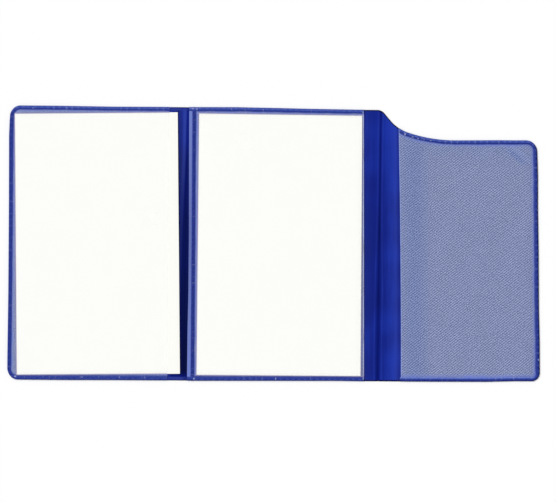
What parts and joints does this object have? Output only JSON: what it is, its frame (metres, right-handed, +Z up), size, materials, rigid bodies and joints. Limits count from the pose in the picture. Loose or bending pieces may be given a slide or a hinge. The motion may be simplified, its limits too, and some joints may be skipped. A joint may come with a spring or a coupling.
{
  "type": "trifold document holder",
  "caption": "Trifold holder of welded plastic film with clear pockets, a stepped right flap and blank sheets, lying open.",
  "frame": {"origin": "centre of the middle panel's back face, on the surface that the open holder lies on", "axes": "+X from the left panel to the right panel, +Y towards the panels' top edge, +Z up out of the pockets' side"},
  "size_m": [0.2722, 0.14, 0.0009],
  "materials": {
    "cover_film": "satin calendered",
    "pocket_film": "clear, finely embossed",
    "welded_edge": "satin, fused and pressed",
    "card": "matt, uncoated"
  },
  "bodies": {
    "middle_panel": {"cover_middle_panel": "cover_film", "left_fold_strip": "cover_film", "right_fold_strip": "cover_film", "middle_pocket_film": "pocket_film", "middle_edge_weld": "welded_edge"},
    "left_panel": {"cover_left_panel": "cover_film", "left_pocket_film": "pocket_film", "left_edge_weld": "welded_edge"},
    "right_panel": {"cover_right_panel": "cover_film", "right_pocket_film": "pocket_film", "right_edge_weld": "welded_edge"},
    "left_sheet": {"left_document": "card"},
    "middle_sheet": {"middle_document": "card"}
  },
  "joints": [
    {"name": "left_fold", "type": "hinge", "parent": "middle_panel", "child": "left_panel", "pos_m": [-0.05221, 0, 0.00185], "axis": [0, 1, 0], "range_deg": [0, 180], "deforming": ["left_fold_strip"]},
    {"name": "right_fold", "type": "hinge", "parent": "middle_panel", "child": "right_panel", "pos_m": [0.0493, 0, 0.00115], "axis": [0, -1, 0], "range_deg": [0, 180], "deforming": ["right_fold_strip"]},
    {"name": "left_document_slide", "type": "slide", "parent": "left_panel", "child": "left_sheet", "axis": [1, 0, 0], "range_m": [0, 0.001]},
    {"name": "middle_document_slide", "type": "slide", "parent": "middle_panel", "child": "middle_sheet", "axis": [1, 0, 0], "range_m": [0, 0.0075]}
  ]
}
